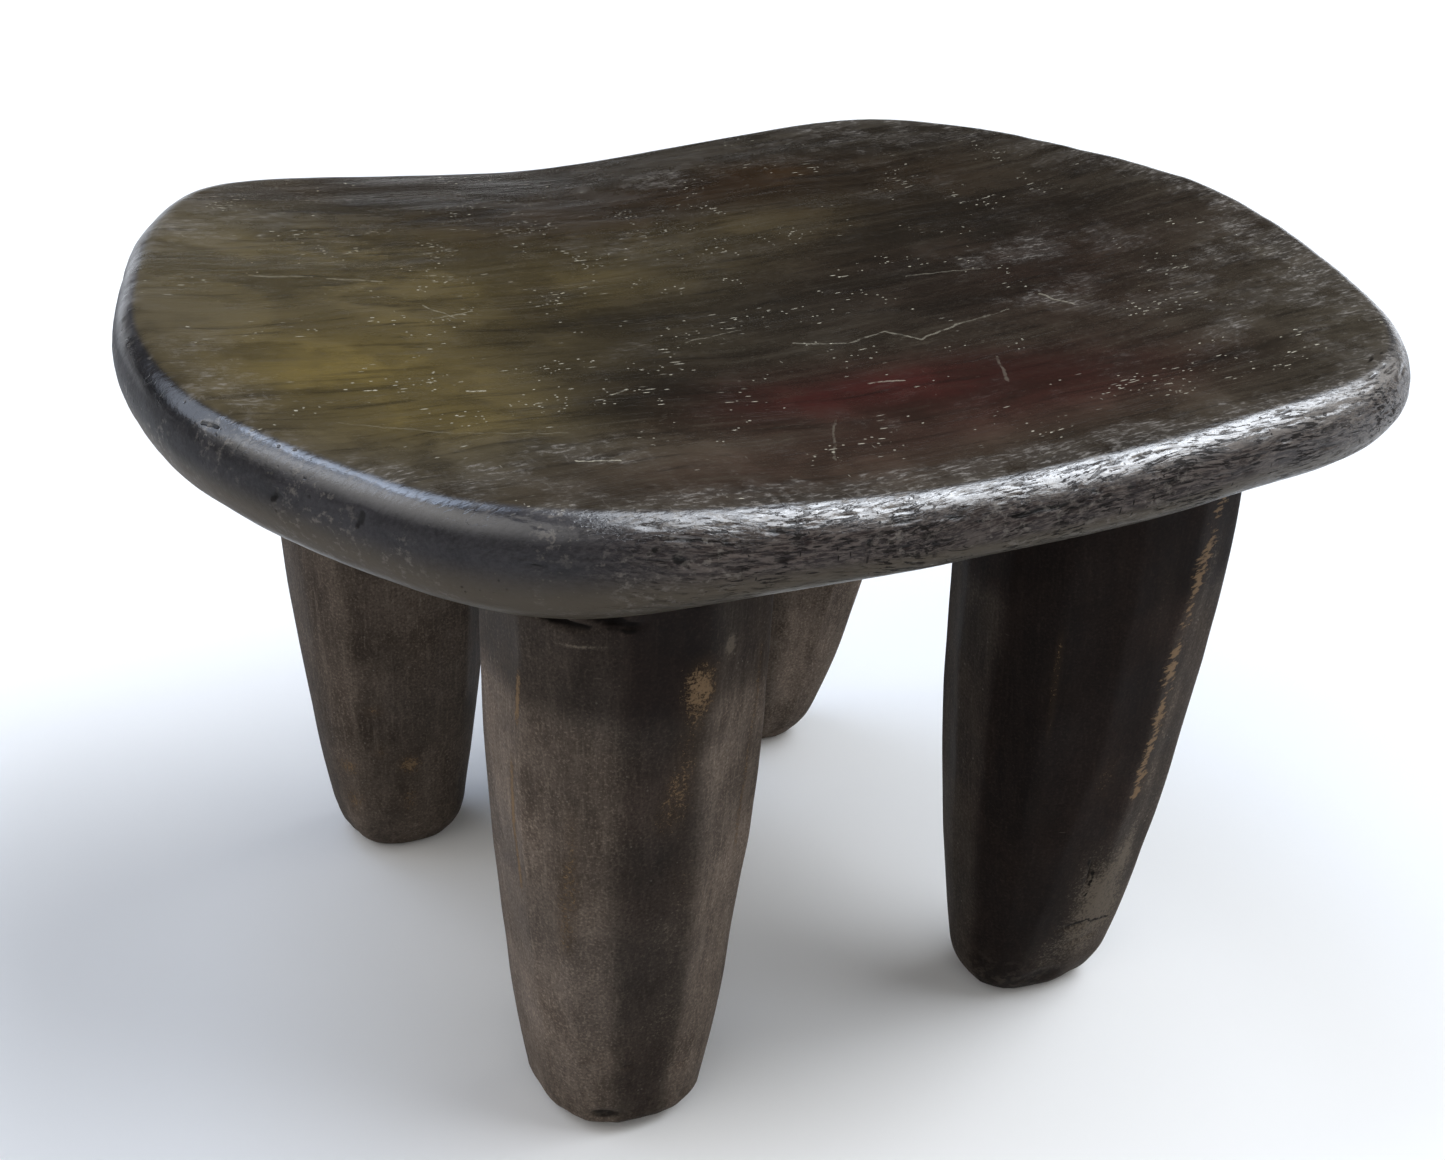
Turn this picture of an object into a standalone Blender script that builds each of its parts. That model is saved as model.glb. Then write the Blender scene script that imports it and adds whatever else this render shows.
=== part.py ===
"""A low four-legged stool carved from dark wood, with a dished seat and bullet-shaped legs.

Units are metres and +Z is up. The origin is on the floor, under the middle of the seat. +X runs along
the seat's length and +Y across it. The near side is -Y, and left and right are as seen from there.
"""

import math

import bmesh
import bpy
import numpy as np

# The seat: its overall size, the height of its dished middle and its thickness
SEAT_LENGTH = 0.400
SEAT_WIDTH = 0.347
SEAT_HEIGHT = 0.241
SEAT_THICKNESS = 0.036

# The dish: how far its two ends stand above its middle
END_RISE = 0.015

# The rim: the round-over of the top edge, and the curve that draws the underside in below it
RIM_ROUND_WIDTH = 0.012
RIM_ROUND_DROP = 0.0145
HULL_WIDTH = 0.0235

# The legs: how far in from the seat's ends and sides their shoulders stand, how much further in their
# feet are, and how wide they are there
SHOULDER_INSET_LENGTH = 0.115
SHOULDER_INSET_WIDTH = 0.0715
FOOT_INSET_LENGTH = 0.004
FOOT_INSET_WIDTH = 0.010
SHOULDER_DIAMETER = 0.084
FOOT_DIAMETER = 0.045
FOOT_ROUND_HEIGHT = 0.016

# The joint: each leg ends in a round tenon, which fills a blind socket under the seat
TENON_DIAMETER = 0.030
SOCKET_ROOF = 0.015
SOCKET_CLEARANCE = 0.0003
TENON_TIP_GAP = 0.001
JOINT_GAP = 0.0003
CUT_OVERRUN = 0.010

# How finely the round shapes are cut
OUTLINE_SPLINE_STEPS = 12
RIM_SPLINE_STEPS = 16
RIM_SIDES = 88
RIM_ROUND_STEPS = 5
HULL_STEPS = 6
LEG_STEPS = 9
LEG_STEP_POWER = 1.2
TENON_SIDES = 20

# The seat's outline in plan, as shares of its half length and half width, round from the right end
OUTLINE_SHARES = (
    (1.00, -0.02), (0.94, 0.38), (0.86, 0.67), (0.68, 0.895), (0.35, 0.95),
    (-0.02, 0.96), (-0.35, 0.985), (-0.63, 0.94), (-0.80, 0.67), (-0.905, 0.34),
    (-0.985, -0.02), (-0.975, -0.33), (-0.87, -0.595), (-0.70, -0.84), (-0.42, -0.96),
    (0.00, -1.00), (0.425, -1.00), (0.73, -0.95), (0.895, -0.76), (0.975, -0.42),
)

# The rim's height above the middle as shares of the end rise, at the right end and each 45 degrees on
RIM_RISE_SHARES = (0.93, 0.28, -0.52, 0.38, 0.95, 0.41, -0.23, 0.47)

# The rim's own thickness as shares of the seat's, at the right end and each 22.5 degrees on. It is
# thinnest along the near side
RIM_THICKNESS_SHARES = (
    0.98, 0.98, 0.96, 0.95, 0.95, 0.96, 0.98, 0.985,
    0.985, 0.99, 1.00, 0.87, 0.76, 0.80, 0.86, 0.955,
)

# The dish climbs from middle to rim by this power of the way out
DISH_POWER = 1.93

# Where the rings of the top and the underside lie, as shares of the way out
FACE_RING_SHARES = (0.25, 0.50, 0.72, 0.88, 1.00)

# A leg's swelling: its width grows by this power towards the shoulder, on a squarish section
TAPER_POWER = 2.4
SECTION_POWER = 2.6
FOOT_FLAT_SHARE = 0.62
FOOT_RING_SHARES = (0.0, 0.12, 0.35, 0.65)
SHOULDER_DEPTH_SHARE = 0.70
SHANK_TOP_SHARE = 0.50

# Each leg's own carving, as shares of the sizes above. Facet edges are in degrees round from +X
LEGS = {
    "leg_front_left": {
        "side": (-1, -1),
        "shoulder_place_shares": (0.93, 1.04),
        "foot_place_shares": (0.91, 0.93),
        "shoulder_width_shares": (1.00, 0.96),
        "foot_width_shares": (1.12, 1.24),
        "foot_round_share": 0.50,
        "facet_edges": (201, 224, 247, 283, 326, 0, 32, 64, 96, 126, 156),
    },
    "leg_front_right": {
        "side": (1, -1),
        "shoulder_place_shares": (1.03, 1.01),
        "foot_place_shares": (1.06, 0.94),
        "shoulder_width_shares": (1.00, 1.00),
        "foot_width_shares": (1.12, 0.78),
        "foot_round_share": 0.98,
        "facet_edges": (170, 200, 226, 256, 283, 312, 343, 14, 46, 78, 109, 139),
    },
    "leg_back_left": {
        "side": (-1, 1),
        "shoulder_place_shares": (1.01, 0.99),
        "foot_place_shares": (1.04, 1.01),
        "shoulder_width_shares": (0.94, 0.96),
        "foot_width_shares": (0.97, 0.93),
        "foot_round_share": 0.93,
        "facet_edges": (200, 226, 252, 278, 304, 336, 8, 42, 76, 108, 140, 170),
    },
    "leg_back_right": {
        "side": (1, 1),
        "shoulder_place_shares": (1.08, 0.94),
        "foot_place_shares": (0.96, 1.13),
        "shoulder_width_shares": (1.05, 1.04),
        "foot_width_shares": (0.70, 0.68),
        "foot_round_share": 0.95,
        "facet_edges": (192, 222, 250, 279, 310, 341, 12, 44, 75, 104, 133, 163),
    },
}

# Finish of the wood: linear colour and roughness
SEAT_COLOUR = (0.030, 0.023, 0.018)
SEAT_ROUGHNESS = 0.38
LEG_COLOUR = (0.034, 0.027, 0.022)
LEG_ROUGHNESS = 0.62

FULL_TURN = 2 * math.pi
SMOOTH_SEAT_ANGLE = math.radians(35)
SMOOTH_LEG_ANGLE = math.radians(16)


def closed_spline(points, steps):
    """A smooth closed line through the points, with the given number of steps between two of them."""
    points = np.asarray(points, dtype=float)
    before = np.roll(points, 1, axis=0)
    after = np.roll(points, -1, axis=0)
    beyond = np.roll(points, -2, axis=0)
    line = []
    for index in range(len(points)):
        for step in range(steps):
            t = step / steps
            straight = points[index] + 0.5 * t * (after[index] - before[index])
            bend = 2 * before[index] - 5 * points[index] + 4 * after[index] - beyond[index]
            twist = 3 * points[index] - before[index] - 3 * after[index] + beyond[index]
            line.append(straight + 0.5 * t ** 2 * bend + 0.5 * t ** 3 * twist)
    return np.array(line)


def even_points(line, count):
    """That many points at equal distances along a closed line."""
    closed = np.vstack([line, line[:1]])
    lengths = np.linalg.norm(np.diff(closed, axis=0), axis=1)
    along = np.concatenate([[0], np.cumsum(lengths)])
    wanted = np.arange(count) * along[-1] / count
    return np.column_stack([np.interp(wanted, along, closed[:, axis]) for axis in (0, 1)])


def seat_outline():
    """The seat's plan outline, fitted to its length and width, and the outward direction at each point."""
    line = closed_spline(OUTLINE_SHARES, OUTLINE_SPLINE_STEPS) * (SEAT_LENGTH / 2, SEAT_WIDTH / 2)
    points = even_points(line, RIM_SIDES)
    low = points.min(axis=0)
    high = points.max(axis=0)
    points = (points - (low + high) / 2) / (high - low) * (SEAT_LENGTH, SEAT_WIDTH)
    along = np.roll(points, -1, axis=0) - np.roll(points, 1, axis=0)
    outward = np.column_stack([along[:, 1], -along[:, 0]])
    outward /= np.linalg.norm(outward, axis=1)[:, None]
    return points, outward


def bearings(points):
    """The direction of each place from the seat's middle, and how far out it is, in seat sizes."""
    points = np.asarray(points, dtype=float) / (SEAT_LENGTH, SEAT_WIDTH)
    return np.arctan2(points[:, 1], points[:, 0]), np.hypot(points[:, 0], points[:, 1])


def around_rim(shares, angles):
    """A value that changes smoothly round the rim, from evenly spaced shares, in the given directions."""
    smooth = closed_spline([(share, 0) for share in shares], RIM_SPLINE_STEPS)[:, 0]
    turns = np.arange(len(smooth)) * FULL_TURN / len(smooth)
    return np.interp(angles, turns, smooth, period=FULL_TURN)


def way_out(points):
    """How far out each place lies: 0 in the seat's middle and 1 on its outline."""
    outline, _ = seat_outline()
    outline_angles, outline_reach = bearings(outline)
    angles, reach = bearings(points)
    return reach / np.interp(angles, outline_angles, outline_reach, period=FULL_TURN)


def dish_height(points):
    """The height of the dished top above its middle, at places in plan."""
    rise = END_RISE * around_rim(RIM_RISE_SHARES, bearings(points)[0])
    return rise * way_out(points) ** DISH_POWER


def thickness(points):
    """The seat's thickness, at places in plan."""
    rim_share = around_rim(RIM_THICKNESS_SHARES, bearings(points)[0])
    return SEAT_THICKNESS * (1 + (rim_share - 1) * way_out(points) ** DISH_POWER)


def seat_rings(grow):
    """The seat's rings of points from the middle of the top to the middle of the underside.

    Heights are from the middle of the top. The whole skin lies out by the distance grow.
    """
    outline, outward = seat_outline()
    rings = []

    def add_ring(inset, share, drop, hull_share):
        plan = (outline - inset * outward) * share
        hull_depth = thickness(plan) - RIM_ROUND_DROP + grow
        height = dish_height(plan) - drop - hull_share * hull_depth
        rings.append(np.column_stack([plan + grow * outward, height]))

    for share in FACE_RING_SHARES:
        add_ring(RIM_ROUND_WIDTH, share, -grow, 0)
    for step in range(1, RIM_ROUND_STEPS + 1):
        turn = math.pi / 2 * step / RIM_ROUND_STEPS
        add_ring(RIM_ROUND_WIDTH * (1 - math.sin(turn)), 1, RIM_ROUND_DROP * (1 - math.cos(turn)), 0)
    for step in range(1, HULL_STEPS + 1):
        turn = math.pi / 2 * step / HULL_STEPS
        add_ring(HULL_WIDTH * (1 - math.cos(turn)), 1, RIM_ROUND_DROP, math.sin(turn))
    for share in reversed(FACE_RING_SHARES[:-1]):
        add_ring(HULL_WIDTH, share, RIM_ROUND_DROP, 1)
    return rings


def solid_from_rings(name, rings, top, bottom):
    """A closed mesh object through rings of points, closed by a fan to a point at each end."""
    mesh = bmesh.new()
    rows = [[mesh.verts.new(place) for place in ring] for ring in rings]
    ends = (mesh.verts.new(top), mesh.verts.new(bottom))
    count = len(rows[0])
    for upper, lower in zip(rows, rows[1:]):
        for index in range(count):
            after = (index + 1) % count
            mesh.faces.new((upper[index], lower[index], lower[after], upper[after]))
    for end, row in zip(ends, (rows[0], rows[-1])):
        for index in range(count):
            mesh.faces.new((end, row[index], row[(index + 1) % count]))
    bmesh.ops.recalc_face_normals(mesh, faces=mesh.faces)
    data = bpy.data.meshes.new(name)
    mesh.to_mesh(data)
    mesh.free()
    obj = bpy.data.objects.new(name, data)
    bpy.context.collection.objects.link(obj)
    return obj


def seat_solid(name, grow):
    """The whole seat without its sockets, with its skin out by the distance grow."""
    top = (0, 0, grow)
    bottom = (0, 0, -SEAT_THICKNESS - grow)
    solid = solid_from_rings(name, seat_rings(grow), top, bottom)
    solid.location = (0, 0, SEAT_HEIGHT)
    return solid


def leg_place(leg, kind):
    """Where a leg's foot or shoulder stands in plan."""
    half_spans = np.array([SEAT_LENGTH / 2 - SHOULDER_INSET_LENGTH, SEAT_WIDTH / 2 - SHOULDER_INSET_WIDTH])
    if kind == "foot":
        half_spans -= (FOOT_INSET_LENGTH, FOOT_INSET_WIDTH)
    return half_spans * leg["side"] * leg[kind + "_place_shares"]


def top_height_at(place):
    """The height of the seat's top surface above the floor, at one place in plan."""
    return SEAT_HEIGHT + float(dish_height([place])[0])


def leg_section(leg, height):
    """A leg's faceted section at a height above the floor, in plan."""
    shoulder_height = SEAT_HEIGHT - SHOULDER_DEPTH_SHARE * SEAT_THICKNESS
    climb = min(height / shoulder_height, 1)
    swell = 1 - (1 - climb) ** TAPER_POWER
    foot_round = FOOT_ROUND_HEIGHT * leg["foot_round_share"]
    below = max(1 - height / foot_round, 0)
    roundness = FOOT_FLAT_SHARE + (1 - FOOT_FLAT_SHARE) * math.sqrt(1 - below ** 2)
    foot = leg_place(leg, "foot")
    centre = foot + (leg_place(leg, "shoulder") - foot) * climb
    foot_half = np.array(leg["foot_width_shares"]) * FOOT_DIAMETER / 2
    shoulder_half = np.array(leg["shoulder_width_shares"]) * SHOULDER_DIAMETER / 2
    half = (foot_half + (shoulder_half - foot_half) * swell) * roundness
    section = []
    for degrees in leg["facet_edges"]:
        across = math.cos(math.radians(degrees))
        deep = math.sin(math.radians(degrees))
        squareness = abs(across) ** SECTION_POWER + abs(deep) ** SECTION_POWER
        reach = squareness ** (-1 / SECTION_POWER)
        section.append(centre + half * (across * reach, deep * reach))
    return np.array(section)


def cylinder(name, place, radius, low, high):
    """An upright round peg with its axis at a place in plan."""
    turns = [FULL_TURN * index / TENON_SIDES for index in range(TENON_SIDES)]
    ring = np.array([(math.cos(turn) * radius, math.sin(turn) * radius, 0) for turn in turns])
    rings = [ring + (0, 0, high - low), ring]
    peg = solid_from_rings(name, rings, (0, 0, high - low), (0, 0, 0))
    peg.location = (place[0], place[1], low)
    return peg


def hide_tool(obj):
    """Marks an object as a cutting or joining tool, which is no piece of the stool."""
    obj.hide_render = True
    obj.display_type = "WIRE"


def add_boolean(obj, operation, tool):
    """Cuts or joins an object with a tool."""
    modifier = obj.modifiers.new(operation.lower() + "_" + tool.name, "BOOLEAN")
    modifier.operation = operation
    modifier.solver = "EXACT"
    modifier.object = tool


def shade(obj, angle):
    """Smooth shading with an edge kept sharp past the angle."""
    obj.data.shade_smooth()
    obj.data.set_sharp_from_angle(angle=angle)


def wood(name, colour, roughness):
    """A plain wood finish."""
    material = bpy.data.materials.new(name)
    material.use_nodes = True
    shader = material.node_tree.nodes["Principled BSDF"]
    shader.inputs["Base Color"].default_value = (*colour, 1)
    shader.inputs["Roughness"].default_value = roughness
    shader.inputs["Metallic"].default_value = 0
    return material


def make_seat(parent):
    """The dished seat with a blind socket under it for each leg."""
    seat = seat_solid("seat", 0)
    underside = SEAT_HEIGHT - SEAT_THICKNESS
    for name, leg in LEGS.items():
        place = leg_place(leg, "shoulder")
        roof = top_height_at(place) - SOCKET_ROOF
        radius = TENON_DIAMETER / 2 + SOCKET_CLEARANCE
        socket = cylinder("socket_cutter_" + name, place, radius, underside - CUT_OVERRUN, roof)
        hide_tool(socket)
        add_boolean(seat, "DIFFERENCE", socket)
    shade(seat, SMOOTH_SEAT_ANGLE)
    seat.data.materials.append(wood("waxed_seat_wood", SEAT_COLOUR, SEAT_ROUGHNESS))
    seat.parent = parent


def make_leg(name, leg, seat_cutter, parent):
    """One faceted leg on its flat foot, cut to the seat's underside, with its tenon."""
    foot = leg_place(leg, "foot")
    shoulder = leg_place(leg, "shoulder")
    foot_round = FOOT_ROUND_HEIGHT * leg["foot_round_share"]
    shank_top = top_height_at(shoulder) - SHANK_TOP_SHARE * SEAT_THICKNESS
    heights = [foot_round * share for share in FOOT_RING_SHARES]
    for step in range(LEG_STEPS + 1):
        heights.append(foot_round + (shank_top - foot_round) * (step / LEG_STEPS) ** LEG_STEP_POWER)
    rings = []
    for height in reversed(heights):
        section = leg_section(leg, height) - foot
        rings.append(np.column_stack([section, np.full(len(section), height)]))
    top = rings[0].mean(axis=0)
    shank = solid_from_rings(name, rings, top, (0, 0, 0))
    shank.location = (foot[0], foot[1], 0)
    add_boolean(shank, "DIFFERENCE", seat_cutter)
    tenon_top = top_height_at(shoulder) - SOCKET_ROOF - TENON_TIP_GAP
    tenon_root = SEAT_HEIGHT - SEAT_THICKNESS - CUT_OVERRUN
    tenon = cylinder("tenon_tool_" + name, shoulder, TENON_DIAMETER / 2, tenon_root, tenon_top)
    hide_tool(tenon)
    add_boolean(shank, "UNION", tenon)
    shade(shank, SMOOTH_LEG_ANGLE)
    shank.data.materials.append(wood(name + "_wood", LEG_COLOUR, LEG_ROUGHNESS))
    shank.parent = parent


def main():
    for obj in list(bpy.data.objects):
        bpy.data.objects.remove(obj, do_unlink=True)
    stool = bpy.data.objects.new("stool", None)
    bpy.context.collection.objects.link(stool)
    make_seat(stool)
    seat_cutter = seat_solid("seat_cutter", JOINT_GAP)
    hide_tool(seat_cutter)
    for name, leg in LEGS.items():
        make_leg(name, leg, seat_cutter, stool)


main()
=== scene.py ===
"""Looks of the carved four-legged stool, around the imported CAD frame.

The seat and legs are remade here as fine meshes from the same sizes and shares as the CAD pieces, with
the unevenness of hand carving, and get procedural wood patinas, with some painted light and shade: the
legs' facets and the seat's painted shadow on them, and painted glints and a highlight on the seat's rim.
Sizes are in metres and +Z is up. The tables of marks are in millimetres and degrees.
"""

import math

import bpy
import numpy as np
from mathutils import Matrix, Vector


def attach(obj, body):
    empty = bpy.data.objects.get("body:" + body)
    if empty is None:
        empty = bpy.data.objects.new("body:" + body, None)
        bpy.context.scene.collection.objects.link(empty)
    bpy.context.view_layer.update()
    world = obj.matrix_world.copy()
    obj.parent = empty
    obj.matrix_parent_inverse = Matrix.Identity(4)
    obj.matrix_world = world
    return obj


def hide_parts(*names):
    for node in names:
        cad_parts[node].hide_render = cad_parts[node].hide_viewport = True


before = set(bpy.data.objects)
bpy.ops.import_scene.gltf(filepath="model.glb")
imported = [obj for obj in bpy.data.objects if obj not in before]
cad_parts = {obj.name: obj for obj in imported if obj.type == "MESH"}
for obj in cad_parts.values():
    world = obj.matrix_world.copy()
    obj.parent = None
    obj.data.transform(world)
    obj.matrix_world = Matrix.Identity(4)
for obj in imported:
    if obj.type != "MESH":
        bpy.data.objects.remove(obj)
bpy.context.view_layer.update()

MM = 0.001
FULL_TURN = 2 * math.pi

# The stool's sizes and shares, as in the CAD source
SEAT_LENGTH = 0.400
SEAT_WIDTH = 0.347
SEAT_HEIGHT = 0.241
SEAT_THICKNESS = 0.036
END_RISE = 0.015
RIM_ROUND_WIDTH = 0.012
RIM_ROUND_DROP = 0.0145
HULL_WIDTH = 0.0235
SHOULDER_INSET_LENGTH = 0.115
SHOULDER_INSET_WIDTH = 0.0715
FOOT_INSET_LENGTH = 0.004
FOOT_INSET_WIDTH = 0.010
SHOULDER_DIAMETER = 0.084
FOOT_DIAMETER = 0.045
FOOT_ROUND_HEIGHT = 0.016
DISH_POWER = 1.93
TAPER_POWER = 2.4
SECTION_POWER = 2.6
FOOT_FLAT_SHARE = 0.62
SHOULDER_DEPTH_SHARE = 0.70
SHOULDER_HEIGHT = SEAT_HEIGHT - SHOULDER_DEPTH_SHARE * SEAT_THICKNESS

OUTLINE_SHARES = (
    (1.00, -0.02), (0.94, 0.38), (0.86, 0.67), (0.68, 0.895), (0.35, 0.95),
    (-0.02, 0.96), (-0.35, 0.985), (-0.63, 0.94), (-0.80, 0.67), (-0.905, 0.34),
    (-0.985, -0.02), (-0.975, -0.33), (-0.87, -0.595), (-0.70, -0.84), (-0.42, -0.96),
    (0.00, -1.00), (0.425, -1.00), (0.73, -0.95), (0.895, -0.76), (0.975, -0.42),
)
RIM_RISE_SHARES = (0.93, 0.28, -0.52, 0.38, 0.95, 0.41, -0.23, 0.47)
RIM_THICKNESS_SHARES = (
    0.98, 0.98, 0.96, 0.95, 0.95, 0.96, 0.98, 0.985,
    0.985, 0.99, 1.00, 0.87, 0.76, 0.80, 0.86, 0.955,
)

# How fine the meshes are
GRID_HALF = 80
RIM_SIDES = 8 * GRID_HALF
ROUND_RINGS = 46
HULL_RINGS = 40
BASE_RINGS = 10
LEG_COLUMNS = 208
FOOT_ROWS = 22
SHANK_ROWS = 170
CAP_ROWS = 6

# The dressed surfaces lie this far inside the solids', so that the relief stays within their box
SEAT_SINK = 0.62 * MM
LEG_SINK = 0.35 * MM
LEG_OVERLAP = 0.6 * MM
FLOOR_GAP = 0.2 * MM

# Each leg's carving and wear. Shoulder and foot are shares of the places and widths along x and y.
# The tones and shade lighten or darken the facet that starts at each edge: partly the wood's own colour
# and partly painted light and shade, lit facets lighter and shaded ones darker. Drift turns an edge towards
# the foot. Cuts are a bearing, half angle, height, half height and depth; flares a bearing, half angle,
# reach and size; chips, tan and pale spots a middle, a reach and a depth or strength. Lines are places as
# height and bearing, then a half angle and a strength
LEGS = {
    "leg_front_left": {
        "side": (-1, -1),
        "shoulder": (0.93, 1.04, 1.0, 0.96),
        "foot": (0.91, 0.93, 1.12, 1.24),
        "foot_round": 0.5,
        "edges": (201, 224, 247, 283, 326, 0, 32, 64, 96, 126, 156),
        "tones_and_shade": (0.64, 0.47, -0.14, 0.64, 0.56, 0.2, 0.2, 0.1, 0.2, 0.2, 0.76),
        "seed": 11,
        "cuts": (
            (207, 4, 202.4, 1.1, 2.8), (214, 5, 201.7, 1.3, 3.4), (222, 5, 201.2, 1.4, 3.4),
            (229, 4, 200.5, 1.1, 2.2), (234, 4, 204.2, 1.0, 2.2), (240, 5, 203.0, 1.4, 3.4),
            (248, 4, 201.4, 1.1, 2.2), (277, 7, 206.2, 1.0, 1.8),
        ),
        "flares": ((226, 18, 2.6, 2.2),),
        "chips": (
            (-84, -120, 32, 2, 4, 1.2, 0.9), (-66, -119, 26, 4, 4, 1.2, 0.8),
            (-88, -112, 9, 6, 6, 3, 1.4), (-76, -112, 4, 5, 6, 2, 1.2),
            (-61, -110, 10, 3, 6, 4, 1.2), (-61.5, -139, 186, 2.5, 6, 4, 0.6),
        ),
        "tan": ((-71, -142, 176, 6, 20, 7, 0.3), (-72, -132, 110, 10, 20, 20, 0.25)),
        "pale": (
            (-61.5, -139, 187, 3, 20, 5, 0.9), (-73, -130, 85, 10, 30, 22, 0.35),
            (-75, -118, 50, 12, 30, 20, 0.3), (-107, -139, 194.5, 8, 20, 0.6, 0.8),
        ),
        "tan_lines": (
            (((186, 280), (166, 278), (152, 274), (138, 271), (128, 267)), 10.0, 0.4),
            (((179, 200), (162, 198)), 2.4, 0.8),
            (((145, 193), (120, 190), (99, 194)), 2.6, 0.85),
            (((115, 221), (70, 217)), 4.5, 0.3),
            (((135, 225), (104, 226), (80, 223)), 4.5, 0.38),
            (((181, 318), (153, 316), (106, 314)), 1.8, 0.55),
        ),
        "pale_lines": ((((200, 244), (168, 243)), 1.5, 0.25), (((100, 210), (60, 214)), 6.0, 0.35)),
    },
    "leg_front_right": {
        "side": (1, -1),
        "shoulder": (1.03, 1.01, 1.0, 1.0),
        "foot": (1.06, 0.94, 1.12, 0.78),
        "foot_round": 0.98,
        "edges": (170, 200, 226, 256, 283, 312, 343, 14, 46, 78, 109, 139),
        "tones_and_shade": (0.1, -0.74, -0.96, -0.66, 0.04, 0.48, 0.2, 0.1, 0.2, 0.1, 0.0, 0.2),
        "drift": {3: -20, 4: -8},
        "seed": 23,
        "cuts": ((243, 14, 203.5, 1.0, 0.8), (262, 10, 208.5, 0.8, 1.0)),
        "chips": (
            (86, -121, 60, 1, 4, 7, 1.2), (85.5, -115, 34, 5.5, 4, 0.9, 1.0),
            (92, -112, 26, 6, 5, 0.9, 0.8), (82, -105, 10, 8, 8, 4, 1.0),
        ),
        "tan": (
            (81, -131, 104, 6, 20, 12, 0.28), (57.3, -131, 150, 2.5, 20, 25, 0.16),
            (61.4, -123, 96, 4, 20, 18, 0.16),
        ),
        "pale": (
            (92, -120, 55, 14, 20, 24, 0.5), (81, -111, 22, 12, 20, 13, 0.45),
            (98, -112, 35, 14, 20, 24, 0.48), (88, -138, 170, 6, 20, 30, 0.22),
        ),
        "comb_lines": ((((200, 295), (192.5, 294), (172, 289), (147, 286), (111, 286), (92, 284)), 5.0, 0.72),),
        "tan_lines": (
            (((160, 227), (120, 228)), 1.6, 0.3),
            (((196, 293), (172, 289), (147, 286), (111, 285), (80, 284)), 7.0, 0.3),
        ),
        "pale_lines": ((((190, 300), (120, 296), (60, 296)), 6.0, 0.45),),
    },
    "leg_back_left": {
        "side": (-1, 1),
        "shoulder": (1.01, 0.99, 0.94, 0.96),
        "foot": (1.04, 1.01, 0.97, 0.93),
        "foot_round": 0.93,
        "edges": (200, 226, 252, 278, 304, 336, 8, 42, 76, 108, 140, 170),
        "tones_and_shade": (0.52, 0.3, 0.4, 0.35, 0.2, 0.2, 0.1, 0.15, 0.1, 0.2, 0.1, 0.3),
        "seed": 37,
        "chips": ((-89, 68, 6, 6, 6, 4, 0.9),),
        "tan": (
            (-101.3, 66.6, 67, 4, 20, 3.5, 0.5), (-109, 77.8, 40, 4, 10, 5, 0.5),
            (-88.8, 66.2, 42, 5, 20, 5, 0.7), (-99.6, 68.1, 48.5, 3.5, 20, 4.5, 0.4),
            (-106.7, 78.8, 24, 3.5, 10, 7, 0.5), (-88.6, 68.3, 25, 4.5, 20, 7, 0.45),
            (-75, 74, 50, 4.5, 20, 30, 0.25),
        ),
        "pale": ((-115, 82, 70, 4, 20, 30, 0.4),),
    },
    "leg_back_right": {
        "side": (1, 1),
        "shoulder": (1.08, 0.94, 1.05, 1.04),
        "foot": (0.96, 1.13, 0.7, 0.68),
        "foot_round": 0.95,
        "edges": (192, 222, 250, 279, 310, 341, 12, 44, 75, 104, 133, 163),
        "tones_and_shade": (0.3, 0.4, 0.85, 0.95, 0.7, 0.3, 0.2, 0.1, 0.1, 0.1, 0.1, 0.2),
        "seed": 41,
        "tan": ((100, 80, 60, 4, 20, 40, 0.4), (75, 78, 36, 6, 20, 6, 0.25)),
        "pale": ((80, 72, 70, 6, 20, 12, 0.3),),
        "pale_lines": ((((120, 300), (40, 301)), 4.0, 0.6),),
    },
}

# Gashes and cracks seen on the legs: two ends and a half width
LEG_GASHES = (
    (-117.8, -123.5, 202.4, -114.3, -129.5, 201.1, 1.4),
    (-114.3, -129.5, 201.1, -111.2, -135, 200.6, 1.9),
    (-111.2, -135, 200.6, -106.8, -138, 199.6, 1.6),
    (-104.8, -138.8, 204.2, -100, -141.2, 202.2, 1.4),
    (-100, -141.2, 202.2, -93.6, -143.8, 200.3, 2),
    (84.2, -122.6, 65, 86.9, -120.8, 56.9, 1.2),
    (86.9, -120.8, 56.9, 86.5, -118.7, 48.9, 0.9),
    (82.5, -115.1, 35, 90.6, -115.1, 36, 1),
    (90.6, -115.1, 36, 101.6, -111.6, 32.5, 0.9),
)

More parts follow.
